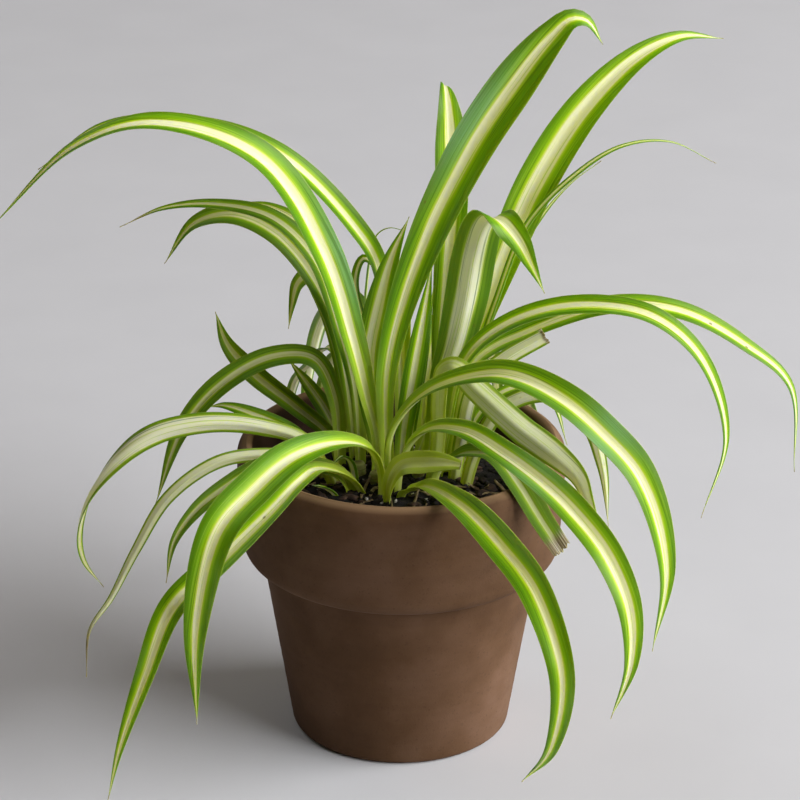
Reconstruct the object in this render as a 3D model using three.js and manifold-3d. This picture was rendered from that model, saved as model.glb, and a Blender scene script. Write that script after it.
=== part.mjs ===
// Potted spider plant: a striped, arching houseplant in a plain 13 cm clay pot.
// Millimetres, +Z up. The origin is the centre of the pot's foot, on the surface it stands on,
// and the photograph looks along +Y, with +X to the right.
import * as THREE from "three";
import { mergeVertices } from "three/addons/utils/BufferGeometryUtils.js";
import Module from "manifold-3d";

const wasm = await Module();
wasm.setup();

// Clay pot: rim and foot radii, heights of its collar, and its wall
const RIM_RADIUS = 65;
const POT_HEIGHT = 122;
const COLLAR_FOOT_Z = 74;
const BODY_TOP_RADIUS = 55.4;
const FOOT_RADIUS = 44;
const RIM_WALL = 6.2;
const WALL = 5.6;
const FLOOR = 8;
const DRAIN_RADIUS = 7;
const POT_SIDES = 64;

// Soil: how far its edge lies below the rim, how much it swells in the middle
const SOIL_BELOW_RIM = 17;
const SOIL_MOUND = 3;
const SOIL_SIDES = 48;
const SEAT_GAP = 0.3;

// Leaves: thickness of a blade, how deep its foot stands in the soil, steps along it
const BLADE_THICKNESS = 0.8;
const FOOT_Z = 101;
const FOOT_WIDTH = 6;
const STEPS = 16;
const FULLEST_AT = 0.5;
const TIP_WIDTH = 0.9;
const FOLD_AT_FOOT = 38;
const FOLD_OF_BLADE = 20;

// Crowns, the short stems the leaves sprout from: where each stands, its radius and its ends
const CROWNS = [
  { name: "crown_left", at: [-17, 1], radius: 3 },
  { name: "crown_middle", at: [-10, -8], radius: 3 },
  { name: "crown_right", at: [7, -2], radius: 3 },
];
const CROWN_FOOT_Z = 97;
const CROWN_TOP_Z = 113;
const CROWN_SIDES = 20;

// Each leaf: its heading in degrees from +X, its foot [x, y], its widest width, the share of its
// length where it is widest if that isn't the usual one, the share of the width left where an end
// is torn, the roll of its blade in degrees at even steps from foot to tip, and its route as
// [reach, height, drift to the left] along the heading from the foot outwards.
const LEAVES = [
  // Long leaves that arch to the left
  { name: "leaf_left_long", heading: 186, foot: [-11, -1], width: 15, fullest: 0.45,
    roll: [-70, -68, -45, -14, -12],
    route: [[-1, 123], [3, 142], [9, 168], [20, 204], [45, 243], [85, 257], [113, 249], [147, 217]] },
  { name: "leaf_left_behind", heading: 180, foot: [-11, 14], width: 10, roll: [-60, -15],
    route: [[-2, 150], [-1, 190], [9, 208], [36, 236], [70, 249], [104, 248], [130, 230]] },
  { name: "leaf_left_level", heading: 178, foot: [-17, 9], width: 10, fullest: 0.35, roll: [-50, -35],
    route: [[2, 140], [8, 166], [18, 196], [34, 212], [56, 217], [76, 215], [93, 207]] },
  { name: "leaf_left_upper", heading: 166, foot: [-12, 22], width: 8, roll: [-40, -30],
    route: [[6, 140], [15, 176], [28, 201], [42, 208], [56, 207], [68, 204]] },
  { name: "leaf_left_hook", heading: 168, foot: [-19, 16], width: 11, fullest: 0.68, roll: [-50, -40],
    route: [[2, 130], [7, 160], [17, 184], [32, 201], [48, 207], [64, 202], [77, 184]] },
  { name: "leaf_left_droop", heading: 150, foot: [-17, 21], width: 8, fullest: 0.62, roll: [-25, -110],
    route: [[4, 120], [7, 139], [11, 158], [17, 172], [23, 179], [28, 175], [31, 165], [33, 154]] },
  { name: "leaf_left_bow", heading: 176, foot: [-25, 7], width: 9.5, fullest: 0.6, roll: [-60, -70],
    route: [[2, 138], [10, 154], [26, 154], [46, 142], [62, 122], [74, 88]] },
  { name: "leaf_left_raised", heading: 155, foot: [-24, 12], width: 9, fullest: 0.66, roll: [-45, -50],
    route: [[4, 116], [20, 127], [39, 138], [51, 149], [56, 162]] },
  { name: "leaf_left_low", heading: 172, foot: [-31, 1], width: 6.5, fullest: 0.6, roll: [-60, -60],
    route: [[3, 114], [12, 124], [28, 131], [40, 133, -2], [47, 131, -4]] },
  { name: "leaf_left_narrow", heading: 135, foot: [-22, 20], width: 7.5, roll: [-30, -35],
    route: [[4, 112], [12, 122], [22, 130], [34, 138]] },
  { name: "leaf_left_pale", heading: 188, foot: [-28, -4], width: 9.5, fullest: 0.5,
    roll: [90, 108, 112, 190, 262],
    route: [[8, 122], [27, 131], [51, 134], [75, 128], [92, 112], [100, 92], [99, 78], [91, 65]] },
  { name: "leaf_left_thin", heading: 204, foot: [-24, -9], width: 6, fullest: 0.3, roll: [95, 115, 115],
    route: [[8, 118], [29, 125], [51, 126], [72, 115], [86, 95], [97, 76], [106, 64], [108, 44]] },
  { name: "leaf_left_brown", heading: 212, foot: [-19, -14], width: 8, roll: [-75, -55],
    route: [[6, 115], [20, 123], [42, 127], [56, 123], [70, 116], [80, 105], [84, 88]] },

  // Leaves that hang over the front of the rim
  { name: "leaf_front_left", heading: 225, foot: [-9, -20], width: 16.5, roll: [-20, -30],
    route: [[0, 116], [5, 128], [20, 136], [46, 138], [66, 131], [84, 120], [96, 84], [97, 43]] },
  { name: "leaf_front_low", heading: 222, foot: [-14, -15], width: 12.5, roll: [-15, -20],
    route: [[8, 114], [25, 124, 1], [41, 126, 8], [55, 119, 9], [80, 101, 4], [97, 88], [110, 64, -1],
      [123, 35, -2], [131, 17]] },
  { name: "leaf_front_right", heading: -65, foot: [0, -18], width: 14, fullest: 0.42, roll: [20, 30],
    route: [[4, 109], [12, 114], [24, 120], [56, 125], [88, 123], [118, 116], [138, 94], [132, 62],
      [108, 34]] },
  { name: "leaf_right_low", heading: -45, foot: [-1, -15], width: 13, fullest: 0.6, roll: [30, 25],
    route: [[4, 124], [16, 138], [36, 144], [57, 141], [80, 135], [93, 129], [110, 117], [121, 100],
      [123, 78], [114, 50]] },
  { name: "leaf_right_torn", heading: -48, foot: [12, -14], width: 12, torn: 0.85, roll: [25, 5],
    route: [[3, 116, 2], [8, 121, 2], [14, 126, 3], [22, 129, 4], [33, 131, 4], [44, 123, 5],
      [55, 110, 7], [64, 100, 9]] },
  { name: "leaf_front_short", heading: 0, foot: [-4, -27], width: 10, fullest: 0.66, torn: 0.4,
    roll: [15, 40, 46, 46],
    route: [[0, 115], [4, 123], [13, 126, -3], [20, 127, -5], [27, 127, -7]] },

  // Upright leaves in the middle
  { name: "leaf_mid_tall", heading: 15, foot: [-4, -3], width: 19, fullest: 0.74, roll: [74, 50],
    route: [[-2, 125], [-2, 152], [4, 181], [16, 213], [33, 246], [49, 269], [63, 286], [70, 292],
      [76, 291], [83, 281]] },
  { name: "leaf_mid_behind", heading: 90, foot: [4, 15], width: 14, fullest: 0.78,
    roll: [0, 0, 0, 10, 42],
    route: [[2, 132, -10], [5, 161, -12], [8, 190, -14], [11, 214, -15], [15, 236, -14],
      [20, 250, -13], [27, 255, -12], [35, 251, -11]] },
  { name: "leaf_mid_left", heading: 15, foot: [-8, 5], width: 13, fullest: 0.55, roll: [70, 65],
    route: [[-2, 122], [-4, 139, 1], [-4, 158, 2], [0, 177, 3], [5, 195, 4], [12, 212, 4]] },
  { name: "leaf_mid_front", heading: 45, foot: [-1, 3], width: 9, roll: [40, 40],
    route: [[3, 125], [8, 147], [13, 168], [18, 192]] },
  { name: "leaf_mid_slim", heading: 20, foot: [2, 11], width: 5, roll: [40, 40],
    route: [[3, 125], [7, 150], [9, 166], [11, 182]] },
  { name: "leaf_mid_broad", heading: -90, foot: [10, 4], width: 19, fullest: 0.57, roll: [0, 0],
    route: [[-1, 117, 2], [-2, 143, 6], [-3, 160, 11], [-4, 178, 15], [-4, 197, 18], [-3, 209, 21],
      [0, 214, 24], [4, 214, 29], [7, 208, 35], [8, 198, 40], [9, 187, 45]] },

  // Leaves that arch to the right
  { name: "leaf_right_long", heading: 22, foot: [10, 11], width: 17, fullest: 0.58, roll: [70, 50],
    route: [[5, 122], [18, 156], [30, 186], [46, 221], [66, 249], [88, 267], [106, 273], [125, 270]] },
  { name: "leaf_right_edge", heading: 17, foot: [18, 6], width: 3, roll: [40, 30],
    route: [[6, 130], [20, 176, 1], [33, 207, 2], [52, 226, 1], [70, 236], [90, 236], [110, 225]] },
  { name: "leaf_right_thin", heading: 34, foot: [13, 15], width: 2.5, roll: [35, 30],
    route: [[6, 130], [20, 158], [36, 182], [54, 203], [66, 212], [80, 218]] },
  { name: "leaf_right_arch", heading: -4, foot: [15, -2], width: 9, roll: [45, 35],
    route: [[3, 124], [11, 159], [29, 175], [53, 182], [81, 179], [101, 162], [112, 129], [104, 93]] },
  { name: "leaf_right_wide", heading: 5, foot: [19, 1], width: 9, roll: [45, 40],
    route: [[2, 122], [10, 155], [32, 168], [62, 177], [90, 174], [116, 159], [135, 141], [139, 103]] },
  { name: "leaf_right_stub", heading: 3, foot: [20, -6], width: 7.5, torn: 0.95, roll: [-95, -108],
    route: [[3, 122], [9, 148], [20, 159], [36, 169]] },
  { name: "leaf_right_near", heading: -30, foot: [-4, -13], width: 15, fullest: 0.58, roll: [32, 25],
    route: [[0, 128], [7, 142], [18, 153], [32, 161], [47, 166], [60, 166], [77, 161], [92, 152],
      [108, 138], [120, 104], [116, 66]] },
  { name: "leaf_right_under", heading: -25, foot: [11, -8], width: 12, fullest: 0.7,
    roll: [-65, -110, -123, -60],
    route: [[3, 126], [3, 142, -1], [5, 156, -2], [11, 160, -3], [21, 152, -2], [37, 140, -1],
      [54, 129], [62, 122, 1], [67, 114], [74, 101, -1]] },
  { name: "leaf_right_tip", heading: -5, foot: [24, -10], width: 8, roll: [-95, -108, -98],
    route: [[5, 122], [16, 142], [34, 148], [48, 138], [55, 118], [58, 92]] },
  { name: "leaf_right_rear", heading: 10, foot: [21, 8], width: 4.5, roll: [50, 60],
    route: [[4, 118], [16, 136], [28, 140], [39, 133], [46, 113]] },

  // Leaves behind, which the front of the plant hides
  { name: "leaf_back_long", heading: 92, foot: [0, 24], width: 12, roll: [0, 10],
    route: [[5, 140], [20, 166], [44, 168], [74, 150], [102, 116], [119, 76], [121, 42]] },
  { name: "leaf_back_right", heading: 68, foot: [8, 22], width: 11, roll: [10, 20],
    route: [[5, 132], [18, 154], [40, 158], [64, 140], [84, 104], [92, 64]] },
  { name: "leaf_back_left", heading: 112, foot: [-7, 27], width: 11, roll: [-10, -20],
    route: [[5, 132], [18, 152], [40, 156], [66, 138], [86, 102], [96, 60]] },
  { name: "leaf_back_low_left", heading: 118, foot: [-20, 28], width: 7, roll: [-10, -10],
    route: [[4, 122], [11, 142], [22, 141], [36, 129], [50, 116], [62, 88], [68, 56]] },
  { name: "leaf_back_low_right", heading: 50, foot: [15, 20], width: 8, roll: [10, 10],
    route: [[5, 120], [18, 134], [34, 134], [48, 124], [62, 100], [70, 66]] },
  { name: "leaf_back_low", heading: 84, foot: [5, 28], width: 9, roll: [0, 0],
    route: [[4, 122], [16, 134], [32, 134], [46, 122], [60, 94], [66, 54]] },
  { name: "leaf_back_trailing", heading: 108, foot: [-15, 30], width: 8, roll: [0, -20],
    route: [[4, 120], [16, 132], [32, 133], [46, 122], [62, 92], [72, 48], [70, 20]] },
  { name: "leaf_back_arch", heading: 5, foot: [-4, 19], width: 7, roll: [20, 40],
    route: [[-3, 130], [-9, 158], [-14, 184], [-11, 192], [-5, 185], [-6, 172]] },

  // Young, short leaves in the crowns and one slim leaf behind them
  { name: "leaf_crown_low", heading: 222, foot: [-18, -7], width: 4, roll: [20, 10],
    route: [[3, 116], [7, 120], [13, 118]] },
  { name: "leaf_crown_front", heading: 215, foot: [-25, -18], width: 4, roll: [10, 0],
    route: [[2, 107], [6, 111], [12, 114]] },
  { name: "leaf_back_tip", heading: 0, foot: [-5, 31], width: 4, roll: [0, 0],
    route: [[-8, 130], [-9, 175], [-5, 197], [0, 200], [5, 199]] },
];

/** A closed solid with shared corners and no flat triangles, from a geometry. */
function toSolid(geometry) {
  const bare = geometry.clone();
  bare.deleteAttribute("normal");
  bare.deleteAttribute("uv");
  const merged = mergeVertices(bare, 1e-4);
  const corners = merged.index.array;
  const triVerts = [];
  for (let i = 0; i < corners.length; i += 3) {
    const [a, b, c] = [corners[i], corners[i + 1], corners[i + 2]];
    if (a !== b && b !== c && c !== a) {
      triVerts.push(a, b, c);
    }
  }
  return new wasm.Manifold(new wasm.Mesh({
    numProp: 3,
    vertProperties: Float32Array.from(merged.attributes.position.array),
    triVerts: Uint32Array.from(triVerts),
  }));
}

/** The geometry of a solid that manifold-3d has cut or joined. */
function toGeometry(solid) {
  const mesh = solid.getMesh();
  const geometry = new THREE.BufferGeometry();
  geometry.setAttribute("position", new THREE.BufferAttribute(mesh.vertProperties, 3));
  geometry.setIndex(new THREE.BufferAttribute(mesh.triVerts, 1));
  geometry.computeVertexNormals();
  return geometry;
}

/** A body of revolution about Z, from [radius, height] points that go up its outside. */
function turned(points, sides) {
  const profile = points.map(([r, z]) => new THREE.Vector2(r, z));
  return toSolid(new THREE.LatheGeometry(profile, sides).rotateX(Math.PI / 2));
}

/** Points of an arc between two angles in degrees about [cx, cz]. */
function arc(cx, cz, radius, from, to, steps) {
  return Array.from({ length: steps + 1 }, (_, i) => {
    const angle = THREE.MathUtils.degToRad(from + (to - from) * i / steps);
    return [cx + radius * Math.cos(angle), cz + radius * Math.sin(angle)];
  });
}

/** Points down the pot's inner wall, from the lip to the floor, moved inwards by a gap. */
function innerWall(gap) {
  return [
    [RIM_RADIUS - RIM_WALL - gap, POT_HEIGHT - 4],
    [BODY_TOP_RADIUS + 1 - gap, COLLAR_FOOT_Z + 20],
    [BODY_TOP_RADIUS - WALL - gap, COLLAR_FOOT_Z],
    [FOOT_RADIUS - WALL + 1.5 - gap, FLOOR + 4],
    [FOOT_RADIUS - WALL - 3 - gap, FLOOR + gap],
  ];
}

/** The clay pot: a tapered body with a tall collar, a rounded lip and a drain hole. */
function potSolid() {
  const edge = 3;
  const lip = 2.6;
  const shoulder = 5;
  const profile = [
    [DRAIN_RADIUS, 0],
    ...arc(FOOT_RADIUS - edge, edge, edge, -90, 0, 3),
    [BODY_TOP_RADIUS, COLLAR_FOOT_Z],
    ...arc(RIM_RADIUS - 8.2, COLLAR_FOOT_Z + 7, 6.4, -75, 0, 3),
    [RIM_RADIUS, POT_HEIGHT - 2 * shoulder],
    ...arc(RIM_RADIUS - shoulder, POT_HEIGHT - shoulder, shoulder, 0, 72, 3),
    ...arc(RIM_RADIUS - RIM_WALL + lip, POT_HEIGHT - lip, lip, 90, 150, 2),
    ...innerWall(0),
    [DRAIN_RADIUS, FLOOR],
    [DRAIN_RADIUS, 0],
  ];
  return turned(profile, POT_SIDES);
}

/** Width of a blade along its length, as it leaves the soil, swells and runs to its tip. */
function bladeWidth(t, leaf) {
  const foot = Math.min(FOOT_WIDTH, leaf.width);
  const fullest = leaf.fullest ?? FULLEST_AT;
  if (t < fullest) {
    return foot + (leaf.width - foot) * THREE.MathUtils.smoothstep(t / fullest, 0, 1);
  }
  const s = (t - fullest) / (1 - fullest);
  const taper = Math.max(0, 1 - s * s) ** 1.25;
  const torn = leaf.torn ?? 0;
  return Math.max(TIP_WIDTH, leaf.width * (torn + (1 - torn) * taper));
}

/** Roll of a blade in radians at a share of its length, from rolls in degrees at even steps. */
function bladeRoll(t, rolls) {
  const place = t * (rolls.length - 1);
  const before = Math.min(Math.floor(place), rolls.length - 2);
  return THREE.MathUtils.degToRad(
    THREE.MathUtils.lerp(rolls[before], rolls[before + 1], place - before),
  );
}

/** One blade: a folded strip swept along its route, grown on every side by a clearance. */
function leafGeometry(leaf, clearance = 0) {
  const [footX, footY] = leaf.foot;
  const heading = THREE.MathUtils.degToRad(leaf.heading);
  const out = new THREE.Vector3(Math.cos(heading), Math.sin(heading), 0);
  const left = new THREE.Vector3(-out.y, out.x, 0);
  const midrib = [[0, FOOT_Z - clearance], ...leaf.route].map(([reach, height, drift = 0]) => (
    new THREE.Vector3(footX, footY, height).addScaledVector(out, reach).addScaledVector(left, drift)
  ));
  const curve = new THREE.CatmullRomCurve3(midrib);
  const places = curve.getSpacedPoints(STEPS);
  const half = BLADE_THICKNESS / 2 + clearance;
  const corners = [];
  places.forEach((place, i) => {
    const t = i / STEPS;
    const along = curve.getTangentAt(t);
    const side = left.clone().addScaledVector(along, -left.dot(along)).normalize();
    const up = new THREE.Vector3().crossVectors(along, side);
    const roll = bladeRoll(t, leaf.roll);
    side.applyAxisAngle(along, roll);
    up.applyAxisAngle(along, roll);
    const fold = THREE.MathUtils.degToRad(
      FOLD_OF_BLADE + (FOLD_AT_FOOT - FOLD_OF_BLADE) * (1 - t) ** 3,
    );
    const reach = bladeWidth(t, leaf) / 2 + clearance;
    const across = reach * Math.cos(fold);
    const rise = reach * Math.sin(fold);
    const section = [
      [across, rise + half], [0, half], [-across, rise + half],
      [-across, rise - half], [0, -half], [across, rise - half],
    ];
    section.forEach(([s, u]) => {
      const corner = place.clone().addScaledVector(side, s).addScaledVector(up, u);
      corners.push(corner.x, corner.y, corner.z);
    });
  });
  const faces = [];
  const ring = 6;
  for (let i = 0; i < STEPS; i += 1) {
    for (let k = 0; k < ring; k += 1) {
      const a = i * ring + k;
      const b = i * ring + (k + 1) % ring;
      // The lower face takes the other diagonal, so that both faces bend along the same lines.
      if (k < ring / 2) {
        faces.push(a, b, b + ring, a, b + ring, a + ring);
      } else {
        faces.push(a, b, a + ring, b, b + ring, a + ring);
      }
    }
  }
  const end = STEPS * ring;
  faces.push(0, 5, 4, 0, 4, 1, 1, 4, 3, 1, 3, 2);
  faces.push(end, end + 1, end + 4, end, end + 4, end + 5);
  faces.push(end + 1, end + 2, end + 3, end + 1, end + 3, end + 4);
  const geometry = new THREE.BufferGeometry();
  geometry.setAttribute("position", new THREE.Float32BufferAttribute(corners, 3));
  geometry.setIndex(faces);
  geometry.computeVertexNormals();
  return geometry;
}

/** One crown: an upright stem with rounded ends, grown on every side by a clearance. */
function crownSolid(crown, clearance = 0) {
  const radius = crown.radius + clearance;
  const foot = CROWN_FOOT_Z - clearance;
  const top = CROWN_TOP_Z + clearance;
  const profile = [
    [0, foot], [radius * 0.7, foot + 0.8], [radius, foot + 2.5],
    [radius, top - 3], [radius * 0.75, top - 1], [0, top],
  ];
  return turned(profile, CROWN_SIDES).translate([...crown.at, 0]);
}

/** The soil, a plug that fills the pot, with room where each leaf and crown stands in it. */
function soilSolid(leaves, crowns) {
  const edgeZ = POT_HEIGHT - SOIL_BELOW_RIM;
  const [, shoulder, seam, heel, floor] = innerWall(SEAT_GAP);
  const profile = [
    [0, floor[1]], floor, heel, seam, shoulder,
    [shoulder[0] + (edgeZ - shoulder[1]) * 0.12, edgeZ],
    [BODY_TOP_RADIUS * 0.6, edgeZ + SOIL_MOUND * 0.6],
    [0, edgeZ + SOIL_MOUND],
  ];
  const standing = [
    ...leaves.map((leaf) => toSolid(leafGeometry(leaf, SEAT_GAP))),
    ...crowns.map((crown) => crownSolid(crown, SEAT_GAP)),
  ];
  return standing.reduce((soil, piece) => soil.subtract(piece), turned(profile, SOIL_SIDES));
}

/** Adds a piece to the plant as a named mesh with a plain finish. */
function addPiece(group, name, geometry, colour, roughness) {
  const material = new THREE.MeshStandardMaterial({ color: colour, roughness, metalness: 0 });
  const mesh = new THREE.Mesh(geometry, material);
  mesh.name = name;
  group.add(mesh);
}

const plant = new THREE.Group();
addPiece(plant, "pot", toGeometry(potSolid()), 0x5a3f2e, 0.85);
addPiece(plant, "soil", toGeometry(soilSolid(LEAVES, CROWNS)), 0x1c1512, 1);
for (const crown of CROWNS) {
  addPiece(plant, crown.name, toGeometry(crownSolid(crown)), 0xa9a86a, 0.6);
}
for (const leaf of LEAVES) {
  addPiece(plant, leaf.name, leafGeometry(leaf), 0x5b9a10, 0.45);
}

export default plant;
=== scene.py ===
# A potted spider plant: clay pot, potting soil, crowns and striped leaves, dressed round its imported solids.
# Metres, +Z up; sizes in the sections below are in millimetres and MM turns them to metres.
import math
import random

import bmesh
import bpy
import numpy as np
from mathutils import Matrix, Vector, noise


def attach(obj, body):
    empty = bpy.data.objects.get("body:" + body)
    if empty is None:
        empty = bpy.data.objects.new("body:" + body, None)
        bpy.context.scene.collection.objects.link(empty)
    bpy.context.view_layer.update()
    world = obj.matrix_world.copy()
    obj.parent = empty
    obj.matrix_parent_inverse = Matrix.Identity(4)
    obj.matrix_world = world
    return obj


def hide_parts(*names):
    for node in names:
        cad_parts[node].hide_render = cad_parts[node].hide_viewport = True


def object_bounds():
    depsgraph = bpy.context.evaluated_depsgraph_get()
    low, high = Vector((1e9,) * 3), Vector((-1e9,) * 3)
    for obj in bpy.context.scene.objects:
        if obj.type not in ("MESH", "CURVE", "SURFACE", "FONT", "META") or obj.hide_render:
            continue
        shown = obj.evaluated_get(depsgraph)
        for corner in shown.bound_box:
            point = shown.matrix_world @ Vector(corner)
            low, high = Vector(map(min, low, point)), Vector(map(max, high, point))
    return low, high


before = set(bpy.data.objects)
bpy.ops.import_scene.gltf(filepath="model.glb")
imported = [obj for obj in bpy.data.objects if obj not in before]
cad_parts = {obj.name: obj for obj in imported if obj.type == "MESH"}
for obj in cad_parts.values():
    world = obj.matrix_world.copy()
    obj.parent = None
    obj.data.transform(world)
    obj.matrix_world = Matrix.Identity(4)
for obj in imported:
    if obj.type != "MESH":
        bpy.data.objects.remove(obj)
cad_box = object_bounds()
MM = 0.001


# Studio: a smooth, pale grey board that the plant stands on, with a wide window's soft light from
# the right, a weak skylight from behind on the left, and a little warm light from the ceiling.
BOARD_SIZE = 14
# Name, azimuth and height in degrees, distance and size in metres, power in watts, tint.
LIGHTS = [
    ("window", -18, 29, 3.6, (4.0, 2.2), 252, "#FBFCFF"),
    ("skylight", 146, 44, 2.8, (1.6, 1.6), 9, "#E9F1FF"),
]
LIGHT_CENTRE = 0.1
CEILING_COLOUR = "#FFEAD0"
CEILING_LIGHT = 0.20
WALL_LIGHT = 0.02
FAR_WALL_SHARE = 0.6
GLOW_FROM = 0.15
GLOW_TO = 1.05
# The eye's aim and distance in millimetres, its height and roll in degrees, its lens and film in millimetres.
EYE_TARGET = (-0.7, 0, 139.5)
EYE_DISTANCE = 1400
EYE_HEIGHT = 23.8
EYE_ROLL = 0.26
EYE_LENS = 160.2
EYE_FILM = 36


def linear(code):
    """The linear colour of an sRGB hex value."""
    share = [int(code[i:i + 2], 16) / 255 for i in (1, 3, 5)]
    return (*(c / 12.92 if c <= 0.04045 else ((c + 0.055) / 1.055) ** 2.4 for c in share), 1)


def add(tree, kind, inputs=None, stops=None, **settings):
    """Adds a node with its settings, its colour stops, and its values or links by socket."""
    made = tree.nodes.new("ShaderNode" + kind)
    for name, value in settings.items():
        setattr(made, name, value)
    if stops:
        ramp = made.color_ramp
        while len(ramp.elements) < len(stops):
            ramp.elements.new(1)
        for element, (place, code) in zip(ramp.elements, stops):
            element.position = place
            element.color = linear(code)
    for socket, value in (inputs or {}).items():
        if isinstance(value, bpy.types.NodeSocket):
            tree.links.new(value, made.inputs[socket])
        else:
            made.inputs[socket].default_value = value
    return made


def new_material(name):
    """A material with its node tree and its shader."""
    made = bpy.data.materials.new(name)
    made.use_nodes = True
    return made, made.node_tree, made.node_tree.nodes["Principled BSDF"]


def new_object(name, points, faces, finish, smooth=True):
    """A mesh object from points in metres."""
    mesh = bpy.data.meshes.new(name)
    mesh.from_pydata([tuple(p) for p in points], [], [tuple(f) for f in faces])
    mesh.validate()
    mesh.materials.append(finish)
    if smooth:
        mesh.shade_smooth()
    made = bpy.data.objects.new(name, mesh)
    bpy.context.scene.collection.objects.link(made)
    return made


board_finish, tree, shader = new_material("board_matt_paint")
# Rolled matt paint: even, with a faint mottle a few centimetres across and no gloss.
place = add(tree, "TexCoord").outputs["Object"]
mottle = add(tree, "TexNoise", {"Vector": place, "Scale": 18, "Detail": 4}).outputs["Fac"]
tone = add(tree, "ValToRGB", {"Fac": mottle}, stops=[(0.3, "#D3D3D5"), (0.7, "#D6D6D8")])
tree.links.new(tone.outputs["Color"], shader.inputs["Base Color"])
shader.inputs["Roughness"].default_value = 0.75
half = BOARD_SIZE / 2
board = new_object(
    "board", [(-half, -half, 0), (half, -half, 0), (half, half, 0), (-half, half, 0)], [(0, 1, 2, 3)],
    board_finish, smooth=False,
)

for label, azimuth, height, far, extent, power, tint in LIGHTS:
    turn = math.radians(azimuth)
    lift = math.radians(height)
    towards = Vector((math.cos(turn) * math.cos(lift), math.sin(turn) * math.cos(lift), math.sin(lift)))
    pane = bpy.data.lights.new(label, "AREA")
    pane.shape = "RECTANGLE"
    pane.size, pane.size_y = extent
    pane.energy = power
    pane.color = linear(tint)[:3]
    made = bpy.data.objects.new(label, pane)
    made.location = towards * far + Vector((0, 0, LIGHT_CENTRE))
    made.rotation_euler = towards.to_track_quat("Z", "Y").to_euler()
    bpy.context.scene.collection.objects.link(made)

room = bpy.data.worlds.new("room")
room.use_nodes = True
sky = room.node_tree
towards_light = add(sky, "TexCoord").outputs["Generated"]
direction = add(sky, "SeparateXYZ", {"Vector": towards_light})
# The ceiling and the far wall are bright, and the room on the camera's side is dark.
lifted = add(sky, "Math", {0: direction.outputs["Y"], 1: FAR_WALL_SHARE, 2: direction.outputs["Z"]},
             operation="MULTIPLY_ADD").outputs[0]
brightness = add(sky, "MapRange", {"Value": lifted, "From Min": GLOW_FROM, "From Max": GLOW_TO,
                                   "To Min": WALL_LIGHT, "To Max": CEILING_LIGHT}).outputs["Result"]
glow = sky.nodes["Background"]
glow.inputs["Color"].default_value = linear(CEILING_COLOUR)
sky.links.new(brightness, glow.inputs["Strength"])
bpy.context.scene.world = room
bpy.context.scene.view_settings.view_transform = "Standard"

eye = bpy.data.cameras.new("eye")
eye.sensor_width = EYE_FILM
eye.lens = EYE_LENS
camera = bpy.data.objects.new("eye", eye)
tilt = math.radians(EYE_HEIGHT)
back = Vector((0, -math.cos(tilt), math.sin(tilt))) * EYE_DISTANCE * MM
turn = Matrix.Rotation(math.radians(90) - tilt, 4, "X") @ Matrix.Rotation(math.radians(EYE_ROLL), 4, "Z")
camera.matrix_world = Matrix.Translation(Vector(EYE_TARGET) * MM + back) @ turn
bpy.context.scene.collection.objects.link(camera)
bpy.context.scene.camera = camera


# Clay pot: low-fired brown earthenware, thrown on a wheel with a tall collar and left unglazed.
# It is dull and porous, with faint throwing rings, grit, and paler mineral bloom where it dries.
RIM_RADIUS = 65
POT_HEIGHT = 122
COLLAR_FOOT = 74
BODY_TOP_RADIUS = 55.4
FOOT_RADIUS = 44
RIM_WALL = 6.2
WALL = 5.6
FLOOR = 8
DRAIN_RADIUS = 7
SHOULDER = 5
LIP = 2.6
FOOT_EDGE = 3
COLLAR_EDGE = 6.4
COLLAR_EDGE_IN = 8.2
COLLAR_EDGE_UP = 7
POT_SIDES = 192
OUTSIDE_STEP = 1.6
INSIDE_STEP = 4
RING_DEPTH = 0.10
RINGS_A_MM = 0.42
UNRINGED_EDGE = 2
INSIDE_DARKENING = 0.85


def arc(cx, cz, radius, start, stop, steps):
    """Points of an arc between two angles in degrees."""
    turns = [math.radians(start + (stop - start) * i / steps) for i in range(steps + 1)]
    return [(cx + radius * math.cos(a), cz + radius * math.sin(a)) for a in turns]


def stepped(points, longest):
    """The same outline with its long straights cut into short steps."""
    fine = [points[0]]
    for (r0, z0), (r1, z1) in zip(points, points[1:]):
        count = max(1, math.ceil(math.hypot(r1 - r0, z1 - z0) / longest))
        fine += [(r0 + (r1 - r0) * i / count, z0 + (z1 - z0) * i / count) for i in range(1, count + 1)]
    return fine


def inner_wall(gap):
    """The pot's inner wall from lip to floor, moved inwards by a gap."""
    return [
        (RIM_RADIUS - RIM_WALL - gap, POT_HEIGHT - 4),
        (BODY_TOP_RADIUS + 1 - gap, COLLAR_FOOT + 20),
        (BODY_TOP_RADIUS - WALL - gap, COLLAR_FOOT),
        (FOOT_RADIUS - WALL + 1.5 - gap, FLOOR + 4),
        (FOOT_RADIUS - WALL - 3 - gap, FLOOR + gap),
    ]


outside = stepped([
    *arc(FOOT_RADIUS - FOOT_EDGE, FOOT_EDGE, FOOT_EDGE, -90, 0, 6),
    (BODY_TOP_RADIUS, COLLAR_FOOT),
    *arc(RIM_RADIUS - COLLAR_EDGE_IN, COLLAR_FOOT + COLLAR_EDGE_UP, COLLAR_EDGE, -75, 0, 8),
    (RIM_RADIUS, POT_HEIGHT - 2 * SHOULDER),
    *arc(RIM_RADIUS - SHOULDER, POT_HEIGHT - SHOULDER, SHOULDER, 0, 72, 8),
    *arc(RIM_RADIUS - RIM_WALL + LIP, POT_HEIGHT - LIP, LIP, 90, 150, 6),
], OUTSIDE_STEP)
inside = stepped(inner_wall(0), INSIDE_STEP)
outline = outside + inside + [(DRAIN_RADIUS, FLOOR), (DRAIN_RADIUS, 0)]


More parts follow.
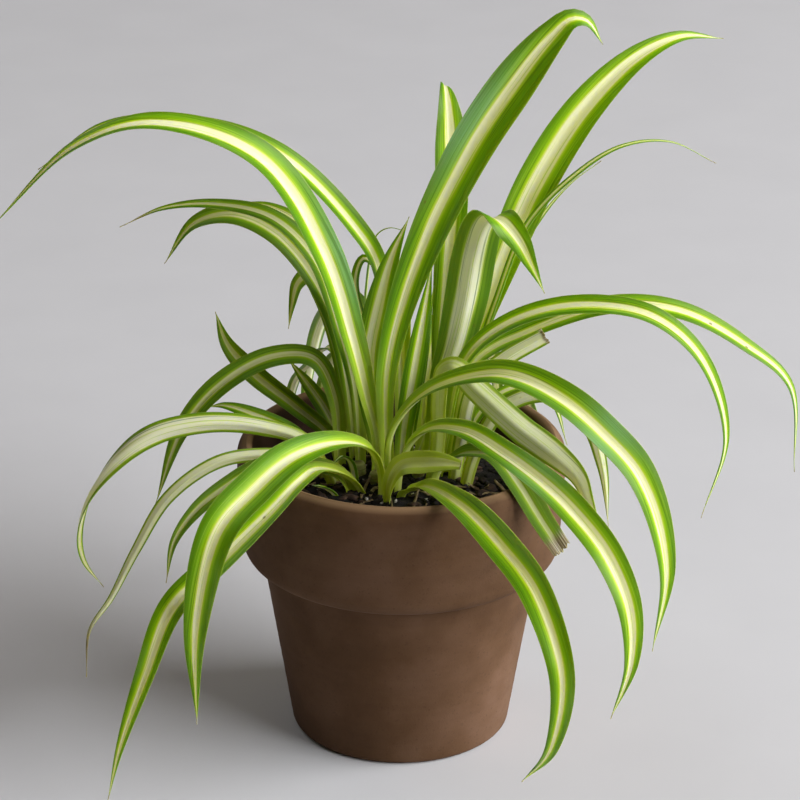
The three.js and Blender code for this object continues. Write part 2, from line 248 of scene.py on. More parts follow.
def thrown(r, z, turn):
    """The radius with the shallow rings that a potter's fingers leave."""
    rings = noise.noise((math.cos(turn) * 0.7, math.sin(turn) * 0.7, z * RINGS_A_MM))
    dents = noise.noise((math.cos(turn) * 2.1, math.sin(turn) * 2.1, z * 0.05 + 9))
    return r + RING_DEPTH * (rings + 0.9 * dents)


points = []
for r, z in outline:
    for k in range(POT_SIDES):
        turn = 2 * math.pi * k / POT_SIDES
        ringed_here = UNRINGED_EDGE < z < POT_HEIGHT - UNRINGED_EDGE and r > DRAIN_RADIUS
        size = thrown(r, z, turn) if ringed_here else r
        points.append((size * math.cos(turn) * MM, size * math.sin(turn) * MM, z * MM))
rows = len(outline)
faces = []
for i in range(rows):
    for k in range(POT_SIDES):
        a, b = i * POT_SIDES + k, i * POT_SIDES + (k + 1) % POT_SIDES
        c, d = (i + 1) % rows * POT_SIDES + (k + 1) % POT_SIDES, (i + 1) % rows * POT_SIDES + k
        faces.append((a, b, c, d))

clay, tree, shader = new_material("clay_unglazed_earthenware")
place = add(tree, "TexCoord").outputs["Object"]
blotch = add(tree, "TexNoise", {"Vector": place, "Scale": 22, "Detail": 6, "Roughness": 0.55}).outputs["Fac"]
body = add(tree, "ValToRGB", {"Fac": blotch}, stops=[
    (0.34, "#593E26"), (0.47, "#674A31"), (0.57, "#73553D"), (0.68, "#7F604A"),
])
# Throwing rings about 2 mm apart: the pattern is squeezed along the pot's height only.
squeeze = add(tree, "Mapping", {"Vector": place, "Scale": (9, 9, 430)}).outputs["Vector"]
ring = add(tree, "TexNoise", {"Vector": squeeze, "Scale": 1, "Detail": 3}).outputs["Fac"]
ring_tone = add(tree, "MapRange", {"Value": ring, "From Min": 0.35, "From Max": 0.7,
                                   "To Min": 0.0, "To Max": 0.12}).outputs["Result"]
ringed = add(tree, "Mix", {0: ring_tone, 6: body.outputs["Color"], 7: linear("#4C3424")}, data_type="RGBA")
# Mineral bloom: thin, greyish pink patches two or three centimetres across.
patch = add(tree, "TexNoise", {"Vector": place, "Scale": 38, "Detail": 8, "Roughness": 0.6}).outputs["Fac"]
pale_patches = add(tree, "MapRange", {"Value": patch, "From Min": 0.52, "From Max": 0.76,
                               "To Min": 0.0, "To Max": 0.34}).outputs["Result"]
bloomed = add(tree, "Mix", {0: pale_patches, 6: ringed.outputs[2], 7: linear("#8C6F5C")}, data_type="RGBA")
# Grit, two thirds of a millimetre across, in a few places only.
grit = add(tree, "TexVoronoi", {"Vector": place, "Scale": 1500}).outputs["Color"]
speck = add(tree, "SeparateColor", {"Color": grit}).outputs["Red"]
dark = add(tree, "MapRange", {"Value": speck, "From Min": 0.93, "From Max": 0.99,
                              "To Min": 0.0, "To Max": 0.25}).outputs["Result"]
gritty = add(tree, "Mix", {0: dark, 6: bloomed.outputs[2], 7: linear("#3A2A20")}, data_type="RGBA")
# Painted shade: the colour darkens from the right of the pot towards its left side, away from the window.
spot = add(tree, "SeparateXYZ", {"Vector": place})
painted_shade_left = add(tree, "MapRange", {"Value": spot.outputs["X"], "From Min": 0.054, "From Max": 0.010,
                               "To Min": 0.0, "To Max": 0.54}).outputs["Result"]
left_side_shaded = add(tree, "Mix", {0: painted_shade_left, 6: gritty.outputs[2], 7: linear("#422911")}, data_type="RGBA")
# Painted highlight: a thin paler band along the top of the lip, where light catches it. The inside wall is
# darker all over.
lip_highlight = add(tree, "MapRange", {"Value": spot.outputs["Z"], "From Min": 0.1198, "From Max": 0.1216,
                              "To Min": 0.0, "To Max": 0.6}).outputs["Result"]
lip_lit = add(tree, "Mix", {0: lip_highlight, 6: left_side_shaded.outputs[2], 7: linear("#9E7F5C")}, data_type="RGBA")
inside_darkening = add(tree, "Attribute", attribute_name="inside_darkening").outputs["Fac"]
final = add(tree, "Mix", {0: inside_darkening, 6: lip_lit.outputs[2], 7: linear("#3D291C")}, data_type="RGBA")
tree.links.new(final.outputs[2], shader.inputs["Base Color"])
rough = add(tree, "MapRange", {"Value": patch, "To Min": 0.72, "To Max": 0.92}).outputs["Result"]
tree.links.new(rough, shader.inputs["Roughness"])
shader.inputs["Specular IOR Level"].default_value = 0.25
grain = add(tree, "TexNoise", {"Vector": place, "Scale": 1400, "Detail": 3}).outputs["Fac"]
relief = add(tree, "Bump", {"Height": grain, "Strength": 0.16, "Distance": 0.0003})
ribbed = add(tree, "Bump", {"Height": ring, "Strength": 0.3, "Distance": 0.0003,
                            "Normal": relief.outputs["Normal"]})
tree.links.new(ribbed.outputs["Normal"], shader.inputs["Normal"])

pot = new_object("clay_pot", points, faces, clay)
pot.data.set_sharp_from_angle(angle=math.radians(50))
# The inside wall is darker all over.
darkening_layer = pot.data.attributes.new("inside_darkening", "FLOAT", "POINT")
darkening_per_point = [0.0] * len(outside) * POT_SIDES + [INSIDE_DARKENING] * (rows - len(outside)) * POT_SIDES
darkening_layer.data.foreach_set("value", darkening_per_point)
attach(pot, "root")
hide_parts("pot")


# Potting soil: damp, nearly black peat with bark, grit and dry scraps on top, pressed in by hand
# and a little higher in the middle, where the crowns stand in it.
SOIL_TOP = POT_HEIGHT - 17
SOIL_MOUND = 3
SOIL_EDGE = 58
SOIL_SHOULDER = 2.5
SOIL_SIDES = 144
SOIL_RINGS = 44
WALL_SLOPE = 0.12
SEAT_GAP = 0.3
LUMP = 1.1


def soil_height(x, y):
    """Height of the soil's lumpy top at a place in the pot."""
    r = math.hypot(x, y)
    knee = BODY_TOP_RADIUS * 0.6
    if r < knee:
        rise = SOIL_MOUND * (0.6 + 0.4 * (1 - r / knee))
    else:
        rise = 0.6 * SOIL_MOUND * (SOIL_EDGE - r) / (SOIL_EDGE - knee)
    lumps = noise.noise((x * 0.16, y * 0.16, 3)) + 0.6 * noise.noise((x * 0.42, y * 0.42, 7))
    return SOIL_TOP + rise + LUMP * lumps


walls = inner_wall(SEAT_GAP)
edge_radius = walls[1][0] + (SOIL_TOP - walls[1][1]) * WALL_SLOPE
points = [(0, 0, soil_height(0, 0) * MM)]
for i in range(1, SOIL_RINGS + 1):
    r = edge_radius * i / SOIL_RINGS
    for k in range(SOIL_SIDES):
        turn = 2 * math.pi * k / SOIL_SIDES
        x, y = r * math.cos(turn), r * math.sin(turn)
        points.append((x * MM, y * MM, soil_height(x, y) * MM))
for r, z in [(edge_radius, SOIL_TOP - SOIL_SHOULDER), *walls[1:]]:
    for k in range(SOIL_SIDES):
        turn = 2 * math.pi * k / SOIL_SIDES
        points.append((r * math.cos(turn) * MM, r * math.sin(turn) * MM, z * MM))
soil_rows = len(points) // SOIL_SIDES
faces = [(0, 1 + k, 1 + (k + 1) % SOIL_SIDES) for k in range(SOIL_SIDES)]
for i in range(soil_rows - 1):
    for k in range(SOIL_SIDES):
        a, b = 1 + i * SOIL_SIDES + k, 1 + i * SOIL_SIDES + (k + 1) % SOIL_SIDES
        faces.append((a, a + SOIL_SIDES, b + SOIL_SIDES, b))
faces.append([1 + (soil_rows - 1) * SOIL_SIDES + k for k in range(SOIL_SIDES)][::-1])

peat, tree, shader = new_material("peat_damp")
# Peat crumbs a millimetre or two across, black where wet and brown where they dry.
place = add(tree, "TexCoord").outputs["Object"]
crumb = add(tree, "TexNoise", {"Vector": place, "Scale": 420, "Detail": 6, "Roughness": 0.7}).outputs["Fac"]
wet_tone = add(tree, "ValToRGB", {"Fac": crumb}, stops=[
    (0.30, "#070504"), (0.50, "#120D0A"), (0.66, "#261B14"), (0.80, "#3A2A1F"),
])
tree.links.new(wet_tone.outputs["Color"], shader.inputs["Base Color"])
shader.inputs["Roughness"].default_value = 0.95
bumps = add(tree, "Bump", {"Height": crumb, "Strength": 0.9, "Distance": 0.0015})
tree.links.new(bumps.outputs["Normal"], shader.inputs["Normal"])

soil = new_object("potting_soil", points, faces, peat)
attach(soil, "root")
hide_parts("soil")


# Loose bits on the soil: peat crumbs, chips of bark, white grains that keep the mix open, and dry
# scraps of old leaf. Each lies on the lumpy top where it fell.
CRUMB_SEED = 41
CRUMBS = 620
CHIPS = 150
GRAINS = 70
LOOSE_RADIUS = 53
FULL_TURN = 6.28
BIT_STRETCH = (0.8, 1.7)
BIT_LEAN = 0.5
BIT_SUNK = 0.45
SCRAPS = 46
SCRAP_PLACES = (14, 44)
SCRAP_LENGTHS = (7, 20)
SCRAP_WIDTHS = (0.6, 1.9)
SCRAP_LIFTS = (0.3, 2.6)
SCRAP_BEND = 0.9
SCRAP_SWERVE = 1.2
SCRAP_STEPS = 10
SCRAP_EDGE = 0.08
SCRAP_THICKNESS = 0.25
SCRAP_CLEAR = 0.5


def soft_ball():
    """Corners and faces of a small ball, for bits of all shapes."""
    mesh = bmesh.new()
    bmesh.ops.create_icosphere(mesh, subdivisions=2, radius=1)
    ball = np.array([v.co[:] for v in mesh.verts])
    sides = [[v.index for v in f.verts] for f in mesh.faces]
    mesh.free()
    return ball, sides


def scattered(count, sizes, squash, rough, draw):
    """Points and faces of many small bits, each turned and dented its own way."""
    ball, sides = soft_ball()
    corners, faces = [], []
    for _ in range(count):
        r = LOOSE_RADIUS * math.sqrt(draw.random())
        turn = draw.uniform(0, 2 * math.pi)
        x, y = r * math.cos(turn), r * math.sin(turn)
        size = draw.uniform(*sizes)
        flat = draw.uniform(*squash)
        long = draw.uniform(*BIT_STRETCH)
        shift = draw.uniform(0, 99)
        dents = np.array([1 + rough * noise.noise(tuple(p * 1.7 + shift)) for p in ball])
        bit = ball * dents[:, None] * np.array([size * long, size / long, size * flat])
        lean = Matrix.Rotation(draw.uniform(0, FULL_TURN), 3, "Z")
        lean = lean @ Matrix.Rotation(draw.uniform(-BIT_LEAN, BIT_LEAN), 3, "X")
        bit = bit @ np.array(lean).T
        bit += np.array([x, y, soil_height(x, y) + size * flat * BIT_SUNK])
        start = len(corners)
        corners += [tuple(p * MM) for p in bit]
        faces += [[start + v for v in side] for side in sides]
    return corners, faces


def loose_finish(name, stops, scale, roughness):
    """A dull, mottled finish for one kind of bit."""
    made, nodes, coat = new_material(name)
    place = add(nodes, "TexCoord").outputs["Object"]
    speckle = add(nodes, "TexNoise", {"Vector": place, "Scale": scale, "Detail": 5}).outputs["Fac"]
    shade = add(nodes, "ValToRGB", {"Fac": speckle}, stops=stops)
    nodes.links.new(shade.outputs["Color"], coat.inputs["Base Color"])
    coat.inputs["Roughness"].default_value = roughness
    pit = add(nodes, "Bump", {"Height": speckle, "Strength": 0.6, "Distance": 0.0005})
    nodes.links.new(pit.outputs["Normal"], coat.inputs["Normal"])
    return made


draw = random.Random(CRUMB_SEED)
loose = [
    ("peat_crumbs", CRUMBS, (0.5, 1.7), (0.5, 0.9), 0.9, loose_finish(
        "peat_crumb_dry", [(0.3, "#0B0806"), (0.55, "#1C140F"), (0.8, "#38291E")], 300, 0.95)),
    ("bark_chips", CHIPS, (1.0, 3.0), (0.2, 0.4), 0.6, loose_finish(
        "bark_chip", [(0.3, "#1C120D"), (0.5, "#3A281D"), (0.75, "#624733")], 260, 0.85)),
    ("white_grains", GRAINS, (0.35, 0.95), (0.6, 0.95), 0.5, loose_finish(
        "expanded_glass_grain", [(0.3, "#9C968A"), (0.6, "#D9D4C8")], 700, 0.8)),
]
for name, count, sizes, squash, rough, finish in loose:
    points, faces = scattered(count, sizes, squash, rough, draw)
    bits = new_object(name, points, faces, finish)
    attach(bits, "root")


def curled_strip(x, y, heading, length, width, lift, draw):
    """Points and faces of one dry strip that lies on the soil and curls up at its ends."""
    bend = draw.uniform(-SCRAP_BEND, SCRAP_BEND)
    corners, faces = [], []
    turn = heading
    for i in range(SCRAP_STEPS + 1):
        t = i / SCRAP_STEPS
        half = 0.5 * width * math.sin(math.pi * (0.12 + 0.8 * t)) + SCRAP_EDGE
        rise = lift * (2 * t - 1) ** 2
        for side in (-1, 1):
            px, py = x - side * half * math.sin(turn), y + side * half * math.cos(turn)
            low = soil_height(px, py) + SCRAP_CLEAR + rise
            corners += [(px * MM, py * MM, (low + SCRAP_THICKNESS) * MM), (px * MM, py * MM, low * MM)]
        x += length / SCRAP_STEPS * math.cos(turn)
        y += length / SCRAP_STEPS * math.sin(turn)
        turn += bend / SCRAP_STEPS
    for i in range(SCRAP_STEPS):
        a, b = 4 * i, 4 * (i + 1)
        faces += [(a, a + 2, b + 2, b), (a + 1, b + 1, b + 3, a + 3), (a, b, b + 1, a + 1),
                  (a + 2, a + 3, b + 3, b + 2)]
    end = 4 * SCRAP_STEPS
    faces += [(0, 1, 3, 2), (end, end + 2, end + 3, end + 1)]
    return corners, faces


straw = loose_finish("dry_leaf_scrap", [(0.3, "#4E3D2A"), (0.5, "#85704F"), (0.75, "#B7A37C")], 500, 0.7)
points, faces = [], []
for _ in range(SCRAPS):
    r, around = draw.uniform(*SCRAP_PLACES), draw.uniform(0, 2 * math.pi)
    strip = curled_strip(
        r * math.cos(around), r * math.sin(around), around + draw.uniform(-SCRAP_SWERVE, SCRAP_SWERVE),
        draw.uniform(*SCRAP_LENGTHS), draw.uniform(*SCRAP_WIDTHS), draw.uniform(*SCRAP_LIFTS), draw,
    )
    faces += [[len(points) + v for v in face] for face in strip[1]]
    points += strip[0]
scraps = new_object("dry_scraps", points, faces, straw)
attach(scraps, "root")


# Leaves: long straps folded along the middle, green with a cream stripe, each grown from a crown.
# The skin is waxy and the flesh lets some light through; fine veins run the whole length.
BLADE_THICKNESS = 0.8
MARGIN_THICKNESS = 0.3
FOOT_DEPTH = 101
FOOT_WIDTH = 6
FINE_TIP = 0.35
FOLD_AT_FOOT = 38
FOLD_OF_BLADE = 20
BLADE_ROWS = 96
BLADE_COLUMNS = 15
SPAN_STEPS = 60
KEEL_ROUNDING = 0.03
KEEL_START = 0.173
KEEL_RISE = 0.842
BULGE = 0.06
WAVE = 0.5
WAVE_LENGTH = 26
WAVY_HALF_WIDTH = 5
TIP_THINNING = 0.25
FULL_THICKNESS_HALF_WIDTH = 1.6
RAGGED_FROM = 0.90
SHEATH_SHARE = 0.32
INSET = 0.05
LEAF_SEED = 7

# Name, heading in degrees from +X, foot, widest width, share of the length where it is widest, share
# of the width left at a torn end, rolls in degrees at even steps from foot to tip, and the route as
# (reach, height, drift to the left).
LEAVES = [
    # Long leaves that arch to the left
    ("leaf_left_long", 186, (-11, -1), 15, 0.45, 0, (-70, -68, -45, -14, -12),
     [(-1, 123), (3, 142), (9, 168), (20, 204), (45, 243), (85, 257), (113, 249), (147, 217)]),
    ("leaf_left_behind", 180, (-11, 14), 10, 0.5, 0, (-60, -15),
     [(-2, 150), (-1, 190), (9, 208), (36, 236), (70, 249), (104, 248), (130, 230)]),
    ("leaf_left_level", 178, (-17, 9), 10, 0.35, 0, (-50, -35),
     [(2, 140), (8, 166), (18, 196), (34, 212), (56, 217), (76, 215), (93, 207)]),
    ("leaf_left_upper", 166, (-12, 22), 8, 0.5, 0, (-40, -30),
     [(6, 140), (15, 176), (28, 201), (42, 208), (56, 207), (68, 204)]),
    ("leaf_left_hook", 168, (-19, 16), 11, 0.68, 0, (-50, -40),
     [(2, 130), (7, 160), (17, 184), (32, 201), (48, 207), (64, 202), (77, 184)]),
    ("leaf_left_droop", 150, (-17, 21), 8, 0.62, 0, (-25, -110),
     [(4, 120), (7, 139), (11, 158), (17, 172), (23, 179), (28, 175), (31, 165), (33, 154)]),
    ("leaf_left_bow", 176, (-25, 7), 9.5, 0.6, 0, (-60, -70),
     [(2, 138), (10, 154), (26, 154), (46, 142), (62, 122), (74, 88)]),
    ("leaf_left_raised", 155, (-24, 12), 9, 0.66, 0, (-45, -50),
     [(4, 116), (20, 127), (39, 138), (51, 149), (56, 162)]),
    ("leaf_left_low", 172, (-31, 1), 6.5, 0.6, 0, (-60, -60),
     [(3, 114), (12, 124), (28, 131), (40, 133, -2), (47, 131, -4)]),
    ("leaf_left_narrow", 135, (-22, 20), 7.5, 0.5, 0, (-30, -35),
     [(4, 112), (12, 122), (22, 130), (34, 138)]),
    ("leaf_left_pale", 188, (-28, -4), 9.5, 0.5, 0, (90, 108, 112, 190, 262),
     [(8, 122), (27, 131), (51, 134), (75, 128), (92, 112), (100, 92), (99, 78), (91, 65)]),
    ("leaf_left_thin", 204, (-24, -9), 6, 0.3, 0, (95, 115, 115),
     [(8, 118), (29, 125), (51, 126), (72, 115), (86, 95), (97, 76), (106, 64), (108, 44)]),
    ("leaf_left_brown", 212, (-19, -14), 8, 0.5, 0, (-75, -55),
     [(6, 115), (20, 123), (42, 127), (56, 123), (70, 116), (80, 105), (84, 88)]),
    # Leaves that hang over the front of the rim
    ("leaf_front_left", 225, (-9, -20), 16.5, 0.5, 0, (-20, -30),
     [(0, 116), (5, 128), (20, 136), (46, 138), (66, 131), (84, 120), (96, 84), (97, 43)]),
    ("leaf_front_low", 222, (-14, -15), 12.5, 0.5, 0, (-15, -20),
     [(8, 114), (25, 124, 1), (41, 126, 8), (55, 119, 9), (80, 101, 4), (97, 88), (110, 64, -1),
      (123, 35, -2), (131, 17)]),
    ("leaf_front_right", -65, (0, -18), 14, 0.42, 0, (20, 30),
     [(4, 109), (12, 114), (24, 120), (56, 125), (88, 123), (118, 116), (138, 94), (132, 62), (108, 34)]),
    ("leaf_right_low", -45, (-1, -15), 13, 0.6, 0, (30, 25),
     [(4, 124), (16, 138), (36, 144), (57, 141), (80, 135), (93, 129), (110, 117), (121, 100),
      (123, 78), (114, 50)]),
    ("leaf_right_torn", -48, (12, -14), 12, 0.5, 0.85, (25, 5),
     [(3, 116, 2), (8, 121, 2), (14, 126, 3), (22, 129, 4), (33, 131, 4), (44, 123, 5), (55, 110, 7),
      (64, 100, 9)]),
    ("leaf_front_short", 0, (-4, -27), 10, 0.66, 0.4, (15, 40, 46, 46),
     [(0, 115), (4, 123), (13, 126, -3), (20, 127, -5), (27, 127, -7)]),
    # Upright leaves in the middle
    ("leaf_mid_tall", 15, (-4, -3), 19, 0.74, 0, (74, 50),
     [(-2, 125), (-2, 152), (4, 181), (16, 213), (33, 246), (49, 269), (63, 286), (70, 292),
      (76, 291), (83, 281)]),
    ("leaf_mid_behind", 90, (4, 15), 14, 0.78, 0, (0, 0, 0, 10, 42),
     [(2, 132, -10), (5, 161, -12), (8, 190, -14), (11, 214, -15), (15, 236, -14), (20, 250, -13),
      (27, 255, -12), (35, 251, -11)]),
    ("leaf_mid_left", 15, (-8, 5), 13, 0.55, 0, (70, 65),
     [(-2, 122), (-4, 139, 1), (-4, 158, 2), (0, 177, 3), (5, 195, 4), (12, 212, 4)]),
    ("leaf_mid_front", 45, (-1, 3), 9, 0.5, 0, (40, 40),
     [(3, 125), (8, 147), (13, 168), (18, 192)]),
    ("leaf_mid_slim", 20, (2, 11), 5, 0.5, 0, (40, 40),
     [(3, 125), (7, 150), (9, 166), (11, 182)]),
    ("leaf_mid_broad", -90, (10, 4), 19, 0.57, 0, (0, 0),
     [(-1, 117, 2), (-2, 143, 6), (-3, 160, 11), (-4, 178, 15), (-4, 197, 18), (-3, 209, 21),
      (0, 214, 24), (4, 214, 29), (7, 208, 35), (8, 198, 40), (9, 187, 45)]),
    # Leaves that arch to the right
    ("leaf_right_long", 22, (10, 11), 17, 0.58, 0, (70, 50),
     [(5, 122), (18, 156), (30, 186), (46, 221), (66, 249), (88, 267), (106, 273), (125, 270)]),
    ("leaf_right_edge", 17, (18, 6), 3, 0.5, 0, (40, 30),
     [(6, 130), (20, 176, 1), (33, 207, 2), (52, 226, 1), (70, 236), (90, 236), (110, 225)]),
    ("leaf_right_thin", 34, (13, 15), 2.5, 0.5, 0, (35, 30),
     [(6, 130), (20, 158), (36, 182), (54, 203), (66, 212), (80, 218)]),
    ("leaf_right_arch", -4, (15, -2), 9, 0.5, 0, (45, 35),
     [(3, 124), (11, 159), (29, 175), (53, 182), (81, 179), (101, 162), (112, 129), (104, 93)]),
    ("leaf_right_wide", 5, (19, 1), 9, 0.5, 0, (45, 40),
     [(2, 122), (10, 155), (32, 168), (62, 177), (90, 174), (116, 159), (135, 141), (139, 103)]),
    ("leaf_right_stub", 3, (20, -6), 7.5, 0.5, 0.95, (-95, -108),
     [(3, 122), (9, 148), (20, 159), (36, 169)]),
    ("leaf_right_near", -30, (-4, -13), 15, 0.58, 0, (32, 25),
     [(0, 128), (7, 142), (18, 153), (32, 161), (47, 166), (60, 166), (77, 161), (92, 152),
      (108, 138), (120, 104), (116, 66)]),
    ("leaf_right_under", -25, (11, -8), 12, 0.7, 0, (-65, -110, -123, -60),
     [(3, 126), (3, 142, -1), (5, 156, -2), (11, 160, -3), (21, 152, -2), (37, 140, -1), (54, 129),
      (62, 122, 1), (67, 114), (74, 101, -1)]),
    ("leaf_right_tip", -5, (24, -10), 8, 0.5, 0, (-95, -108, -98),
     [(5, 122), (16, 142), (34, 148), (48, 138), (55, 118), (58, 92)]),
    ("leaf_right_rear", 10, (21, 8), 4.5, 0.5, 0, (50, 60),
     [(4, 118), (16, 136), (28, 140), (39, 133), (46, 113)]),
    # Leaves behind, which the front of the plant hides
    ("leaf_back_long", 92, (0, 24), 12, 0.5, 0, (0, 10),
     [(5, 140), (20, 166), (44, 168), (74, 150), (102, 116), (119, 76), (121, 42)]),
    ("leaf_back_right", 68, (8, 22), 11, 0.5, 0, (10, 20),
     [(5, 132), (18, 154), (40, 158), (64, 140), (84, 104), (92, 64)]),
    ("leaf_back_left", 112, (-7, 27), 11, 0.5, 0, (-10, -20),
     [(5, 132), (18, 152), (40, 156), (66, 138), (86, 102), (96, 60)]),
    ("leaf_back_low_left", 118, (-20, 28), 7, 0.5, 0, (-10, -10),
     [(4, 122), (11, 142), (22, 141), (36, 129), (50, 116), (62, 88), (68, 56)]),
    ("leaf_back_low_right", 50, (15, 20), 8, 0.5, 0, (10, 10),
     [(5, 120), (18, 134), (34, 134), (48, 124), (62, 100), (70, 66)]),
    ("leaf_back_low", 84, (5, 28), 9, 0.5, 0, (0, 0),
     [(4, 122), (16, 134), (32, 134), (46, 122), (60, 94), (66, 54)]),
    ("leaf_back_trailing", 108, (-15, 30), 8, 0.5, 0, (0, -20),
     [(4, 120), (16, 132), (32, 133), (46, 122), (62, 92), (72, 48), (70, 20)]),
    ("leaf_back_arch", 5, (-4, 19), 7, 0.5, 0, (20, 40),
     [(-3, 130), (-9, 158), (-14, 184), (-11, 192), (-5, 185), (-6, 172)]),
    # Young, short leaves in the crowns and one slim leaf behind them
    ("leaf_crown_low", 222, (-18, -7), 4, 0.5, 0, (20, 10),
     [(3, 116), (7, 120), (13, 118)]),
    ("leaf_crown_front", 215, (-25, -18), 4, 0.5, 0, (10, 0),
     [(2, 107), (6, 111), (12, 114)]),
    ("leaf_back_tip", 0, (-5, 31), 4, 0.5, 0, (0, 0),
     [(-8, 130), (-9, 175), (-5, 197), (0, 200), (5, 199)]),
]

# How a leaf differs from the usual: the share of its length that is dry at the tip, the share of the
# blade that is stripe, how dull it has grown (with painted shade on leaves that others shade), how far
# up it is pale like a sheath (painted light on one shaded leaf), how deep in millimetres a torn end is
# frayed, and its painted sheen: where on the length it is brightest, how far it spreads, the half of
# the blade that it lies on (0 for both), and how strong it is.
MARKS = {
    "leaf_left_level": {"dry": 0.10, "dull_and_shaded": 0.5, "stripe": 0.22},
    "leaf_left_hook": {"dry": 0.03, "dull_and_shaded": 0.4, "stripe": 0.22},
    "leaf_left_upper": {"dull_and_shaded": 0.3},
    "leaf_left_droop": {"dry": 0.03, "dull_and_shaded": 0.5},
    "leaf_left_thin": {"dry": 0.20, "stripe": 0.48, "dull_and_shaded": 0.3},
    "leaf_left_pale": {"dry": 0.02, "stripe": 0.48, "dull_and_shaded": 0},
    "leaf_left_brown": {"dry": 0.05, "dull_and_shaded": 0.8, "stripe": 0.22},
    "leaf_left_raised": {"dull_and_shaded": 0.6, "dry": 0.02, "stripe": 0.24},
    "leaf_left_low": {"dull_and_shaded": 0.5, "stripe": 0.22},
    "leaf_left_narrow": {"dull_and_shaded": 0.6, "stripe": 0.26},
    "leaf_left_bow": {"dull_and_shaded": 0.6, "stripe": 0.20},
    "leaf_left_long": {"stripe": 0.28, "dry": 0.01, "wax_relief_and_painted_sheen": (0.36, 0.09, -1, 0.55)},
    # Its grey olive is painted shade, for a leaf that lies in the shade of others.
    "leaf_right_torn": {"dry": 0.1, "dull_and_shaded": 1, "stripe": 0.16, "frayed": 2.2},
    # Its pale sheath colour, run far up the blade, is painted light on a leaf that others shade.
    "leaf_front_short": {"dry": 0.01, "stripe": 0.42, "sheath_and_painted_light": 2.6, "dull_and_shaded": 0},
    "leaf_right_stub": {"dry": 0.025, "stripe": 0.5, "frayed": 0.6},
    # Its grey olive is painted shade, for a leaf that lies in the shade of others.
    "leaf_right_under": {"stripe": 0.54, "dull_and_shaded": 0.6, "sheath_and_painted_light": 0.7},
    "leaf_right_tip": {"dull_and_shaded": 0.3, "stripe": 0.44},
    "leaf_right_rear": {"dull_and_shaded": 0.3},
    "leaf_right_edge": {"dull_and_shaded": 0.3, "dry": 0.03},
    "leaf_right_thin": {"dull_and_shaded": 0.3, "dry": 0.03},
    "leaf_right_low": {"dry": 0.02, "stripe": 0.30, "wax_relief_and_painted_sheen": (0.47, 0.06, 0, 0.4)},
    "leaf_right_near": {"dry": 0.01, "stripe": 0.25, "wax_relief_and_painted_sheen": (0.60, 0.05, 0, 0.6)},
    "leaf_right_long": {"dry": 0.01, "stripe": 0.33},
    "leaf_mid_tall": {"dry": 0.01, "stripe": 0.20, "wax_relief_and_painted_sheen": (0.69, 0.10, 1, 0.7)},
    "leaf_mid_broad": {"dry": 0.01, "stripe": 0.25},
    "leaf_front_left": {"stripe": 0.22},
    "leaf_front_low": {"stripe": 0.30},
    "leaf_front_right": {"stripe": 0.19, "dry": 0.02},
    "leaf_back_trailing": {"dull_and_shaded": 0.4, "dry": 0.05},
}


def evenly(route, count):
    """Evenly spaced places, and the directions there, along a smooth line through a route."""
    known = np.array(route, float)
    ends = np.vstack([2 * known[0] - known[1], known, 2 * known[-1] - known[-2]])
    spans = len(known) - 1
    fine = []
    for i in range(spans):
        p = ends[i:i + 4]
        d = [max(np.linalg.norm(p[k + 1] - p[k]), 1e-6) ** 0.5 for k in range(3)]
        start = ((p[1] - p[0]) / d[0] - (p[2] - p[0]) / (d[0] + d[1]) + (p[2] - p[1]) / d[1]) * d[1]
        stop = ((p[2] - p[1]) / d[1] - (p[3] - p[1]) / (d[1] + d[2]) + (p[3] - p[2]) / d[2]) * d[1]
        w = np.linspace(0, 1, SPAN_STEPS, endpoint=i == spans - 1)[:, None]
        fine.append(
            p[1] + start * w + (3 * (p[2] - p[1]) - 2 * start - stop) * w ** 2
            + (2 * (p[1] - p[2]) + start + stop) * w ** 3
        )
    fine = np.vstack(fine)
    gone = np.concatenate([[0], np.cumsum(np.linalg.norm(np.diff(fine, axis=0), axis=1))])
    stops = np.linspace(0, gone[-1], count)
    places = np.stack([np.interp(stops, gone, fine[:, k]) for k in range(3)], axis=1)
    ahead = np.gradient(places, axis=0)
    return places, ahead / np.linalg.norm(ahead, axis=1)[:, None], gone[-1]


def eased(t):
    """A smooth step from 0 to 1."""
    t = np.clip(t, 0, 1)
    return t * t * (3 - 2 * t)


def width_along(t, widest, fullest, torn):
    """Width of a blade along its length, as it leaves the soil, swells and runs to its tip."""
    foot = min(FOOT_WIDTH, widest)
    swelling = foot + (widest - foot) * eased(t / fullest)
    s = np.clip((t - fullest) / (1 - fullest), 0, 1)
    taper = widest * (torn + (1 - torn) * (1 - s * s) ** 1.25)
    return np.maximum(np.where(t < fullest, swelling, taper), FINE_TIP)


def turned_about(vectors, axes, angles):
    """Vectors turned about axes at right angles to them."""
    return vectors * np.cos(angles)[:, None] + np.cross(axes, vectors) * np.sin(angles)[:, None]


